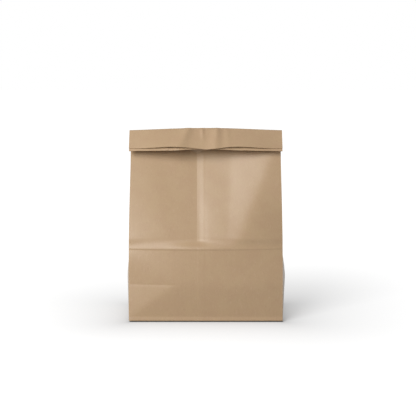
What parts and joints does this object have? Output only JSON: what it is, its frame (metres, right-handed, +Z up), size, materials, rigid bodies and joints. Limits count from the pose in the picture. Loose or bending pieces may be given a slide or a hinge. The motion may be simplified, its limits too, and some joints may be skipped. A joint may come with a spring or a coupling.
{
  "type": "self-opening paper bag",
  "caption": "Standing block-bottom bag folded from brown kraft paper, with pleated side gussets and its mouth closed by a fold to the front.",
  "frame": {"origin": "on the ground under the middle of the bag's box", "axes": "+Z up from the block bottom to the folded mouth, front panel and flap towards -Y, width along X"},
  "size_m": [0.1894, 0.0898, 0.2241],
  "materials": {
    "kraft_paper": "matte unbleached kraft paper with a faint machine-glazed sheen"
  },
  "bodies": {
    "root": {"paper_bag": "kraft_paper"}
  },
  "joints": []
}
